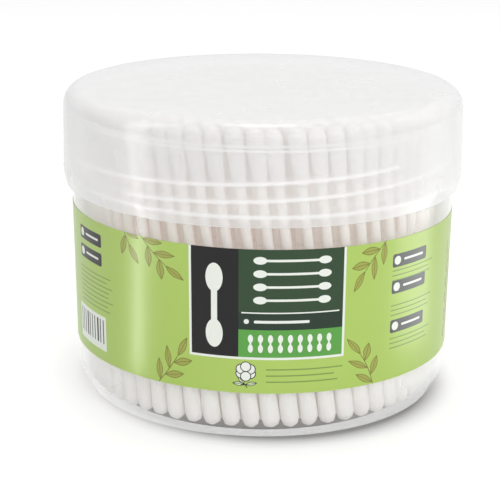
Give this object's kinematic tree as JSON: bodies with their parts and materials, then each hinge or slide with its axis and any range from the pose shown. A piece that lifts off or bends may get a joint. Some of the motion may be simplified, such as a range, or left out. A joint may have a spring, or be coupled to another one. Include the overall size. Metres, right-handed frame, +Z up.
{
  "type": "cotton swab tub",
  "caption": "Round clear tub of cotton swabs standing upright, with a frosted screw lid and a green wrap-round label.",
  "frame": {"origin": "middle of the tub's base, on the surface it stands on", "axes": "+Z up the tub's axis towards the lid, -Y towards the front of the label"},
  "size_m": [0.1044, 0.1044, 0.0795],
  "materials": {
    "tub_plastic": "clear, slightly milky polypropylene, glossy",
    "lid_plastic": "frosted milky polypropylene",
    "label_film": "printed film, satin, light green",
    "stick_paper": "rolled white paper, matte",
    "cotton": "wound white cotton fibre"
  },
  "bodies": {
    "tub": {"cotton_tips_ring_01": "cotton", "cotton_tips_ring_02": "cotton", "cotton_tips_ring_03": "cotton", "cotton_tips_ring_04": "cotton", "cotton_tips_ring_05": "cotton", "cotton_tips_ring_06": "cotton", "cotton_tips_ring_07": "cotton", "cotton_tips_ring_08": "cotton", "cotton_tips_ring_09": "cotton", "cotton_tips_ring_10": "cotton", "label": "label_film", "paper_sticks_ring_01": "stick_paper", "paper_sticks_ring_02": "stick_paper", "paper_sticks_ring_03": "stick_paper", "paper_sticks_ring_04": "stick_paper", "paper_sticks_ring_05": "stick_paper", "paper_sticks_ring_06": "stick_paper", "paper_sticks_ring_07": "stick_paper", "paper_sticks_ring_08": "stick_paper", "paper_sticks_ring_09": "stick_paper", "paper_sticks_ring_10": "stick_paper", "tub": "tub_plastic"},
    "lid": {"lid": "lid_plastic"}
  },
  "joints": [
    {"name": "lid_lift", "type": "slide", "parent": "tub", "child": "lid", "axis": [0, 0, 1], "range_m": [0, 0.06]}
  ]
}
